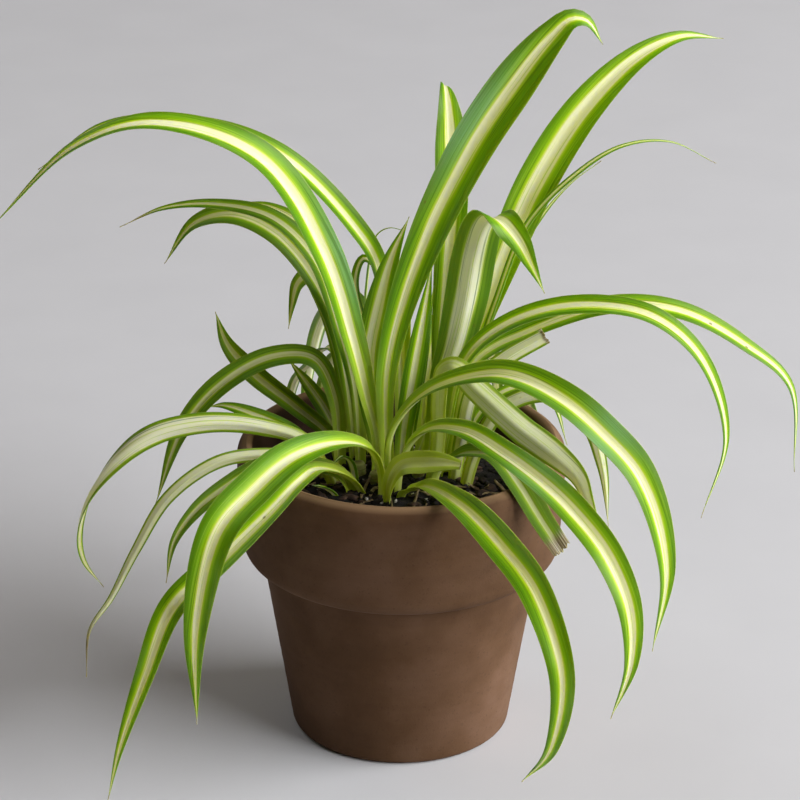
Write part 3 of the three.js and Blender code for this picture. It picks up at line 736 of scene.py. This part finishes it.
def leaf_mesh(name, heading, foot, widest, fullest, torn, rolls, route, finish, draw):
    """One leaf: a folded, slightly waved strap with a rounded keel, thin margins and its marks."""
    turn = math.radians(heading)
    out = np.array([math.cos(turn), math.sin(turn), 0])
    left = np.array([-out[1], out[0], 0])
    midrib = [np.array([*foot, FOOT_DEPTH])]
    for step in route:
        drift = step[2] if len(step) > 2 else 0
        midrib.append(np.array([*foot, step[1]]) + out * step[0] + left * drift)
    places, along, length = evenly(midrib, BLADE_ROWS + 1)
    t = np.linspace(0, 1, BLADE_ROWS + 1)
    side = left - along * (along @ left)[:, None]
    side /= np.linalg.norm(side, axis=1)[:, None]
    up = np.cross(along, side)
    angles = np.radians(np.interp(t, np.linspace(0, 1, len(rolls)), rolls))
    side = turned_about(side, along, angles)
    up = turned_about(up, along, angles)
    fold = np.radians(FOLD_OF_BLADE + (FOLD_AT_FOOT - FOLD_OF_BLADE) * (1 - t) ** 3)
    reach = width_along(t, widest, fullest, torn) / 2
    c = np.linspace(1, -1, BLADE_COLUMNS)
    keel = (np.sqrt(c * c + KEEL_ROUNDING) - KEEL_START) / KEEL_RISE
    seed = draw.uniform(0, 90)
    waves = np.array([
        [noise.noise((v * length / WAVE_LENGTH, seed + (5 if k > 0 else 0), 0)) for k in c] for v in t
    ])
    room_to_wave = np.minimum(1, reach / WAVY_HALF_WIDTH)[:, None] * (np.abs(c) ** 2.5)[None, :]
    rise = (
        (reach * np.sin(fold))[:, None] * keel[None, :]
        + BULGE * reach[:, None] * np.sin(np.pi * np.abs(c))[None, :]
        + WAVE * waves * room_to_wave
    )
    across = (reach * np.cos(fold))[:, None] * c[None, :]
    half = (MARGIN_THICKNESS + (BLADE_THICKNESS - MARGIN_THICKNESS) * (1 - c * c)) / 2
    half = half[None, :] * np.minimum(1, TIP_THINNING + reach / FULL_THICKNESS_HALF_WIDTH)[:, None]
    usual = {"dry": draw.uniform(0.01, 0.025), "stripe": draw.uniform(0.23, 0.31), "sheath_and_painted_light": SHEATH_SHARE,
             "dull_and_shaded": draw.uniform(0, 0.2), "frayed": 0, "wax_relief_and_painted_sheen": (0.5, 0.1, 0, 0)}
    marks = {**usual, **MARKS.get(name, {})}
    ragged = np.zeros_like(across)
    if torn:
        teeth = np.array([draw.uniform(0, marks["frayed"]) for _ in c])
        ragged = -eased((t - RAGGED_FROM) / (1 - RAGGED_FROM))[:, None] * teeth[None, :]
    sheets = []
    for sign, order in ((1, slice(None)), (-1, slice(None, None, -1))):
        sheet = (
            places[:, None, :] + side[:, None, :] * across[:, :, None]
            + up[:, None, :] * (rise + sign * half)[:, :, None] + along[:, None, :] * ragged[:, :, None]
        )
        sheets.append(sheet[:, order, :])
    points = np.concatenate(sheets, axis=1).reshape(-1, 3) * MM
    # This fine curve would pass the faceted one by up to a millimetre, so it is drawn in to the box
    # of the solids, evenly from its foot outwards.
    start = np.array([*foot, FOOT_DEPTH]) * MM
    for corner, sign in ((cad_box[0], -1), (cad_box[1], 1)):
        offset = (points - start) * sign
        room = (np.array(corner) - start) * sign - INSET * MM
        share = np.minimum(1, room / np.maximum(offset.max(axis=0), INSET * MM))
        points = start + np.where(offset > 0, offset * share, offset) * sign
    ring = 2 * BLADE_COLUMNS
    faces = []
    for i in range(BLADE_ROWS):
        for k in range(ring):
            a, b = i * ring + k, i * ring + (k + 1) % ring
            faces.append((a, b, b + ring, a + ring))
    last = BLADE_ROWS * ring
    for j in range(BLADE_COLUMNS - 1):
        faces.append((j, ring - 1 - j, ring - 2 - j, j + 1))
        faces.append((last + j, last + j + 1, last + ring - 2 - j, last + ring - 1 - j))
    made = new_object(name.replace("leaf_", "strap_"), points, faces, finish)
    made.data.set_sharp_from_angle(angle=math.radians(60))

    cc = np.concatenate([c, c[::-1]])
    under = np.concatenate([np.zeros(BLADE_COLUMNS), np.ones(BLADE_COLUMNS)])
    dry = eased((t - 1 + marks["dry"]) / marks["dry"] * 1.6)
    sheath_and_painted_light = 1 - eased(t / marks["sheath_and_painted_light"])
    flat = np.stack([
        (reach[:, None] * cc[None, :] * MM).ravel(),
        np.repeat(t * length * MM, ring),
        np.full(len(points), seed * 0.01),
    ], axis=1)
    look = np.stack([
        np.tile(cc, BLADE_ROWS + 1), np.full(len(points), marks["stripe"]),
        np.tile(under, BLADE_ROWS + 1),
    ], axis=1)
    age_and_painted_light = np.stack([
        np.repeat(dry, ring), np.repeat(sheath_and_painted_light, ring), np.full(len(points), marks["dull_and_shaded"]),
    ], axis=1)
    for label, values in (("flat", flat), ("look", look), ("age_and_painted_light", age_and_painted_light)):
        made.data.attributes.new(label, "FLOAT_VECTOR", "POINT").data.foreach_set("vector", values.ravel())
    # Painted sheen: how much pale blue-green reflected light is laid into the colour along and across the
    # blade.
    brightest_at, spread, sheen_half, sheen_strength = marks["wax_relief_and_painted_sheen"]
    lengthways = sheen_strength * np.exp(-((t - brightest_at) / spread) ** 2)
    crossways = eased(0.5 + 3 * sheen_half * cc) if sheen_half else np.ones_like(cc)
    pale_patches = (lengthways[:, None] * crossways[None, :]).ravel()
    made.data.attributes.new("pale_patches", "FLOAT", "POINT").data.foreach_set("value", pale_patches)
    return made


leaf_skin, tree, shader = new_material("leaf_living_waxy")
flat = add(tree, "Attribute", attribute_name="flat").outputs["Vector"]
look = add(tree, "SeparateXYZ", {"Vector": add(tree, "Attribute", attribute_name="look").outputs["Vector"]})
age_and_painted_light = add(tree, "SeparateXYZ", {"Vector": add(tree, "Attribute", attribute_name="age_and_painted_light").outputs["Vector"]})
# Streaks follow the veins: 0.7 mm apart across the blade and many centimetres long.
lengthwise = add(tree, "Mapping", {"Vector": flat, "Scale": (1450, 13, 60)}).outputs["Vector"]
streaks = add(tree, "TexNoise", {"Vector": lengthwise, "Scale": 1, "Detail": 3, "Roughness": 0.6})
streak = streaks.outputs["Fac"]
slow = add(tree, "Mapping", {"Vector": flat, "Scale": (0, 18, 60)}).outputs["Vector"]
wander = add(tree, "TexNoise", {"Vector": slow, "Scale": 1, "Detail": 1}).outputs["Fac"]
# The stripe's middle wanders to either side, and its edges break up into streaks.
drifted = add(tree, "Math", {0: wander, 1: 0.34, 2: look.outputs["X"]}, operation="MULTIPLY_ADD").outputs[0]
recentred = add(tree, "Math", {0: drifted, 1: 0.17}, operation="SUBTRACT").outputs[0]
distance = add(tree, "Math", {0: recentred}, operation="ABSOLUTE").outputs[0]
beyond = add(tree, "Math", {0: distance, 1: look.outputs["Y"]}, operation="SUBTRACT").outputs[0]
streaky = add(tree, "Math", {0: streak, 1: 0.24, 2: beyond}, operation="MULTIPLY_ADD").outputs[0]
# Past the stripe's edge, which lies at 0.35 on both scales: a yellow-green line, then green.
top_place = add(tree, "Math", {0: streaky, 1: 0.23}, operation="ADD").outputs[0]
top_tone = add(tree, "ValToRGB", {"Fac": top_place}, stops=[
    (0.33, "#F4F5BC"), (0.37, "#E4E98A"), (0.41, "#C4D63C"), (0.47, "#A4C80A"),
    (0.57, "#82B000"), (0.76, "#609600"), (1.0, "#417400"),
])
# Underneath the pale band is broader and the green greyer.
under_place = add(tree, "Math", {0: streaky, 1: 0.05}, operation="ADD").outputs[0]
under_tone = add(tree, "ValToRGB", {"Fac": under_place}, stops=[
    (0.32, "#EAECC4"), (0.38, "#D4DC92"), (0.42, "#A2B83A"), (0.50, "#688E12"), (0.80, "#42700A"),
])
fresh = add(tree, "Mix", {0: look.outputs["Z"], 6: top_tone.outputs["Color"],
                          7: under_tone.outputs["Color"]}, data_type="RGBA")
# Pale threads within the green, closest together beside the stripe.
near_stripe = add(tree, "MapRange", {"Value": beyond, "From Min": 0.0, "From Max": 0.55,
                                     "To Min": 0.7, "To Max": 0.1}).outputs["Result"]
thread = add(tree, "MapRange", {"Value": streak, "From Min": 0.56, "From Max": 0.64,
                                "To Min": 0, "To Max": near_stripe}).outputs["Result"]
threaded = add(tree, "Mix", {0: thread, 6: fresh.outputs[2], 7: linear("#BCD44A")}, data_type="RGBA")
# Darker threads between them, all over the green.
deep = add(tree, "MapRange", {"Value": streak, "From Min": 0.46, "From Max": 0.36,
                              "To Min": 0, "To Max": 0.7}).outputs["Result"]
past_stripe = add(tree, "MapRange", {"Value": beyond, "From Min": 0.02, "From Max": 0.1}).outputs["Result"]
deeper = add(tree, "Math", {0: deep, 1: past_stripe}, operation="MULTIPLY").outputs[0]
grained = add(tree, "Mix", {0: deeper, 6: threaded.outputs[2], 7: linear("#356300")}, data_type="RGBA")
# The very margin is a thin, pale line, partly its own colour and partly a painted highlight where light
# catches the edge.
outward = add(tree, "Math", {0: look.outputs["X"]}, operation="ABSOLUTE").outputs[0]
pale_edge_and_highlight = add(tree, "MapRange", {"Value": outward, "From Min": 0.95, "From Max": 0.99,
                                "To Min": 0, "To Max": 0.2}).outputs["Result"]
edged = add(tree, "Mix", {0: pale_edge_and_highlight, 6: grained.outputs[2], 7: linear("#A9BF66")}, data_type="RGBA")
# Painted sheen, blue green, for light reflected from the waxy skin: on the green of the upper side and
# never on the stripe, strongest where a leaf's marks put it, broken up by streaks, and elsewhere in faint
# patches a few centimetres long.
patches = add(tree, "Mapping", {"Vector": flat, "Scale": (150, 22, 60)}).outputs["Vector"]
sheen_noise = add(tree, "TexNoise", {"Vector": patches, "Scale": 1, "Detail": 3, "Roughness": 0.6}).outputs["Fac"]
sheen_patches = add(tree, "MapRange", {"Value": sheen_noise, "From Min": 0.56, "From Max": 0.70,
                                "To Min": 0.0, "To Max": 0.1}).outputs["Result"]
placed_sheen = add(tree, "Attribute", attribute_name="pale_patches").outputs["Fac"]
sheen_broken_by_streaks = add(tree, "MapRange", {"Value": streak, "From Min": 0.35, "From Max": 0.6,
                                    "To Min": 0.45, "To Max": 1.0}).outputs["Result"]
sheen_all = add(tree, "Math", {0: placed_sheen, 1: sheen_broken_by_streaks, 2: sheen_patches}, operation="MULTIPLY_ADD").outputs[0]
on_top = add(tree, "Math", {0: 1.0, 1: look.outputs["Z"]}, operation="SUBTRACT").outputs[0]
on_green = add(tree, "MapRange", {"Value": beyond, "From Min": 0.04, "From Max": 0.16}).outputs["Result"]
top_green = add(tree, "Math", {0: on_top, 1: on_green}, operation="MULTIPLY").outputs[0]
sheen_mask = add(tree, "Math", {0: sheen_all, 1: top_green}, operation="MULTIPLY").outputs[0]
sheen_coloured = add(tree, "Mix", {0: sheen_mask, 6: edged.outputs[2], 7: linear("#84B389")}, data_type="RGBA")
# Duller, older leaves turn to a grey olive; on leaves that lie in the shade of others, the grey olive is
# painted shade.
olive_share = add(tree, "Math", {0: age_and_painted_light.outputs["Z"], 1: 0.6}, operation="MULTIPLY").outputs[0]
dulled_and_shaded = add(tree, "Mix", {0: olive_share, 6: sheen_coloured.outputs[2], 7: linear("#4A5F22")}, data_type="RGBA")
# A few brown freckles, about a millimetre across.
freckled = add(tree, "Mapping", {"Vector": flat, "Scale": (150, 90, 60)}).outputs["Vector"]
nearest = add(tree, "TexVoronoi", {"Vector": freckled, "Scale": 1}).outputs
chance = add(tree, "SeparateColor", {"Color": nearest["Color"]}).outputs["Red"]
chosen = add(tree, "MapRange", {"Value": chance, "From Min": 0.86, "From Max": 0.9}).outputs["Result"]
dot = add(tree, "MapRange", {"Value": nearest["Distance"], "From Min": 0.10, "From Max": 0.05,
                             "To Min": 0.0, "To Max": 0.75}).outputs["Result"]
freckle = add(tree, "Math", {0: chosen, 1: dot}, operation="MULTIPLY").outputs[0]
freckly = add(tree, "Mix", {0: freckle, 6: dulled_and_shaded.outputs[2], 7: linear("#5E4A22")}, data_type="RGBA")
# The sheath near the soil is pale yellow green; on one leaf that others shade, the pale colour runs far up
# the blade as painted light.
pale = add(tree, "Math", {0: age_and_painted_light.outputs["Y"], 1: 0.78}, operation="MULTIPLY").outputs[0]
sheathed_and_lit = add(tree, "Mix", {0: pale, 6: freckly.outputs[2], 7: linear("#C9DA52")}, data_type="RGBA")
# Dry tips turn straw brown, then dark brown.
withered = add(tree, "ValToRGB", {"Fac": streak}, stops=[
    (0.35, "#4A3A2C"), (0.55, "#8E8268"), (0.72, "#C6C5B2"),
])
aged = add(tree, "Mix", {0: age_and_painted_light.outputs["X"], 6: sheathed_and_lit.outputs[2], 7: withered.outputs["Color"]},
           data_type="RGBA")
tree.links.new(aged.outputs[2], shader.inputs["Base Color"])
gloss = add(tree, "MapRange", {"Value": streak, "To Min": 0.36, "To Max": 0.54}).outputs["Result"]
dry_gloss = add(tree, "Math", {0: age_and_painted_light.outputs["X"], 1: 0.4, 2: gloss}, operation="MULTIPLY_ADD").outputs[0]
dull_gloss = add(tree, "Math", {0: age_and_painted_light.outputs["Z"], 1: 0.3, 2: dry_gloss},
                 operation="MULTIPLY_ADD").outputs[0]
tree.links.new(dull_gloss, shader.inputs["Roughness"])
waxy = add(tree, "MapRange", {"Value": age_and_painted_light.outputs["Z"], "To Min": 0.16, "To Max": 0.0}).outputs["Result"]
tree.links.new(waxy, shader.inputs["Coat Weight"])
vein = add(tree, "Bump", {"Height": streak, "Strength": 0.4, "Distance": 0.00025})
# The wax is slightly pebbled, a millimetre from one swelling to the next.
pebbled = add(tree, "Mapping", {"Vector": flat, "Scale": (900, 700, 60)}).outputs["Vector"]
pebble = add(tree, "TexNoise", {"Vector": pebbled, "Scale": 1, "Detail": 2}).outputs["Fac"]
wax_relief_and_painted_sheen = add(tree, "Bump", {"Height": pebble, "Strength": 0.35, "Distance": 0.0002,
                         "Normal": vein.outputs["Normal"]})
tree.links.new(wax_relief_and_painted_sheen.outputs["Normal"], shader.inputs["Normal"])
shader.inputs["IOR"].default_value = 1.33
shader.inputs["Specular Tint"].default_value = linear("#F6FFB4")
shader.inputs["Subsurface Weight"].default_value = 0.75
shader.inputs["Subsurface Radius"].default_value = (1.0, 1.0, 0.25)
shader.inputs["Subsurface Scale"].default_value = 0.0025
shader.inputs["Coat Roughness"].default_value = 0.27
shader.inputs["Coat IOR"].default_value = 1.45

draw = random.Random(LEAF_SEED)
for row in LEAVES:
    strap = leaf_mesh(*row, leaf_skin, draw)
    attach(strap, "root")
    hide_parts(row[0])


# Crowns: the short fleshy stems that the leaves spring from, ringed by the scars of shed leaves.
# Each stands half out of the soil, pale green above and tan where old sheaths have dried on it.
CROWNS = [("crown_left", (-17, 1), 3), ("crown_middle", (-10, -8), 3), ("crown_right", (7, -2), 3)]
CROWN_FOOT = 97
CROWN_TOP = 113
CROWN_SIDES = 40
CROWN_STEP = 0.35
CROWN_EYE = 0.01
SCAR_GAP = 1.3
SCAR_DEPTH = 0.16

stem, tree, shader = new_material("stem_fleshy")
place = add(tree, "TexCoord").outputs["Object"]
ringing = add(tree, "Mapping", {"Vector": place, "Scale": (60, 60, 900)}).outputs["Vector"]
scar = add(tree, "TexNoise", {"Vector": ringing, "Scale": 1, "Detail": 4}).outputs["Fac"]
skin = add(tree, "ValToRGB", {"Fac": scar}, stops=[
    (0.30, "#6B5A34"), (0.45, "#9C9A54"), (0.60, "#B4BC70"), (0.78, "#C9CF8C"),
])
tree.links.new(skin.outputs["Color"], shader.inputs["Base Color"])
shader.inputs["Roughness"].default_value = 0.5
shader.inputs["Subsurface Weight"].default_value = 0.2
shader.inputs["Subsurface Scale"].default_value = 0.001
scarred = add(tree, "Bump", {"Height": scar, "Strength": 0.5, "Distance": 0.0004})
tree.links.new(scarred.outputs["Normal"], shader.inputs["Normal"])

for name, (x, y), radius in CROWNS:
    outline = stepped([
        (CROWN_EYE, CROWN_FOOT), (radius * 0.7, CROWN_FOOT + 0.8), (radius, CROWN_FOOT + 2.5),
        (radius, CROWN_TOP - 3), (radius * 0.75, CROWN_TOP - 1), (CROWN_EYE, CROWN_TOP),
    ], CROWN_STEP)
    points = []
    for r, z in outline:
        scars = 1 - SCAR_DEPTH / radius * max(0, math.sin(2 * math.pi * z / SCAR_GAP))
        for k in range(CROWN_SIDES):
            turn = 2 * math.pi * k / CROWN_SIDES
            size = r * scars
            points.append(((x + size * math.cos(turn)) * MM, (y + size * math.sin(turn)) * MM, z * MM))
    faces = []
    for i in range(len(outline) - 1):
        for k in range(CROWN_SIDES):
            a, b = i * CROWN_SIDES + k, i * CROWN_SIDES + (k + 1) % CROWN_SIDES
            faces.append((a, b, b + CROWN_SIDES, a + CROWN_SIDES))
    top = (len(outline) - 1) * CROWN_SIDES
    faces.append(list(range(CROWN_SIDES))[::-1])
    faces.append([top + k for k in range(CROWN_SIDES)])
    stub = new_object(name + "_stem", points, faces, stem)
    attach(stub, "root")
    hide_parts(name)
